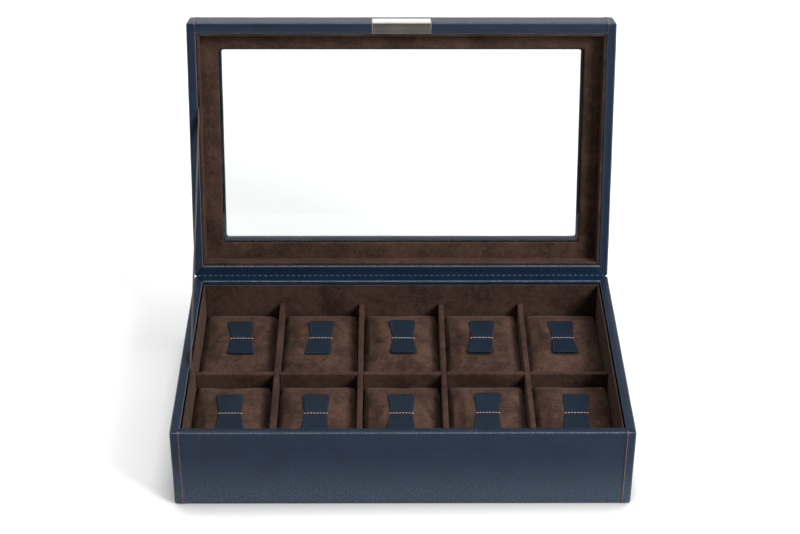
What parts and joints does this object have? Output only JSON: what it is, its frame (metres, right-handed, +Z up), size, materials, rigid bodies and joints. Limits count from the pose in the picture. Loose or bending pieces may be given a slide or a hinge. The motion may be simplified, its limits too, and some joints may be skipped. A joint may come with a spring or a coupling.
{
  "type": "watch box",
  "caption": "Leather-covered watch box with a hinged windowed lid, suede-lined compartments and cushions that lift out by a tab",
  "frame": {"origin": "centre of the base's underside", "axes": "+Z up, +X to the right and +Y to the back, seen from the front"},
  "size_m": [0.33, 0.2821, 0.263],
  "materials": {
    "board": "bare fibreboard",
    "suede_board": "brown suede over board",
    "suede_cushion": "brown suede",
    "leather": "fine-grained navy leather",
    "glass": "clear",
    "nickel": "satin nickel",
    "magnet": "plain",
    "ribbon": "woven brown tape",
    "bottom_sheet": "black felt"
  },
  "bodies": {
    "base": {"base_board_floor": "board", "base_bottom_sheet": "bottom_sheet", "base_cover_front": "leather", "base_cover_wrap": "leather", "base_lining_floor": "suede_board", "closure_magnet": "magnet", "long_divider": "suede_board", "hinge_leaf_base": "leather", "lid_stay_ribbon": "ribbon", "base_board_front": "board", "base_board_back": "board", "base_board_left": "board", "base_board_right": "board", "base_lining_front": "suede_board", "base_lining_back": "suede_board", "base_lining_left": "suede_board", "base_lining_right": "suede_board", "cross_divider_1": "suede_board", "cross_divider_2": "suede_board", "cross_divider_3": "suede_board", "cross_divider_4": "suede_board"},
    "lid": {"lid_board_top": "board", "lid_cover_front": "leather", "lid_cover_wrap": "leather", "window_glass": "glass", "window_retainer": "suede_board", "clasp_plate": "nickel", "hinge_leaf_lid": "leather", "lid_board_front": "board", "lid_board_back": "board", "lid_board_left": "board", "lid_board_right": "board", "lid_lining_front": "suede_board", "lid_lining_back": "suede_board", "lid_lining_left": "suede_board", "lid_lining_right": "suede_board"},
    "cushion_01": {"cushion_01": "suede_cushion", "pull_tab_01": "leather"},
    "cushion_02": {"cushion_02": "suede_cushion", "pull_tab_02": "leather"},
    "cushion_03": {"cushion_03": "suede_cushion", "pull_tab_03": "leather"},
    "cushion_04": {"cushion_04": "suede_cushion", "pull_tab_04": "leather"},
    "cushion_05": {"cushion_05": "suede_cushion", "pull_tab_05": "leather"},
    "cushion_06": {"cushion_06": "suede_cushion", "pull_tab_06": "leather"},
    "cushion_07": {"cushion_07": "suede_cushion", "pull_tab_07": "leather"},
    "cushion_08": {"cushion_08": "suede_cushion", "pull_tab_08": "leather"},
    "cushion_09": {"cushion_09": "suede_cushion", "pull_tab_09": "leather"},
    "cushion_10": {"cushion_10": "suede_cushion", "pull_tab_10": "leather"}
  },
  "joints": [
    {"name": "lid_hinge", "type": "hinge", "parent": "base", "child": "lid", "pos_m": [0, 0.1017, 0.0657], "axis": [-1, 0, 0], "range_deg": [-105, 0], "deforming": ["lid_stay_ribbon"]},
    {"name": "cushion_01_lift", "type": "slide", "parent": "base", "child": "cushion_01", "axis": [0, 0, 1], "range_m": [0, 0.07]},
    {"name": "cushion_02_lift", "type": "slide", "parent": "base", "child": "cushion_02", "axis": [0, 0, 1], "range_m": [0, 0.07]},
    {"name": "cushion_03_lift", "type": "slide", "parent": "base", "child": "cushion_03", "axis": [0, 0, 1], "range_m": [0, 0.07]},
    {"name": "cushion_04_lift", "type": "slide", "parent": "base", "child": "cushion_04", "axis": [0, 0, 1], "range_m": [0, 0.07]},
    {"name": "cushion_05_lift", "type": "slide", "parent": "base", "child": "cushion_05", "axis": [0, 0, 1], "range_m": [0, 0.07]},
    {"name": "cushion_06_lift", "type": "slide", "parent": "base", "child": "cushion_06", "axis": [0, 0, 1], "range_m": [0, 0.07]},
    {"name": "cushion_07_lift", "type": "slide", "parent": "base", "child": "cushion_07", "axis": [0, 0, 1], "range_m": [0, 0.07]},
    {"name": "cushion_08_lift", "type": "slide", "parent": "base", "child": "cushion_08", "axis": [0, 0, 1], "range_m": [0, 0.07]},
    {"name": "cushion_09_lift", "type": "slide", "parent": "base", "child": "cushion_09", "axis": [0, 0, 1], "range_m": [0, 0.07]},
    {"name": "cushion_10_lift", "type": "slide", "parent": "base", "child": "cushion_10", "axis": [0, 0, 1], "range_m": [0, 0.07]}
  ]
}
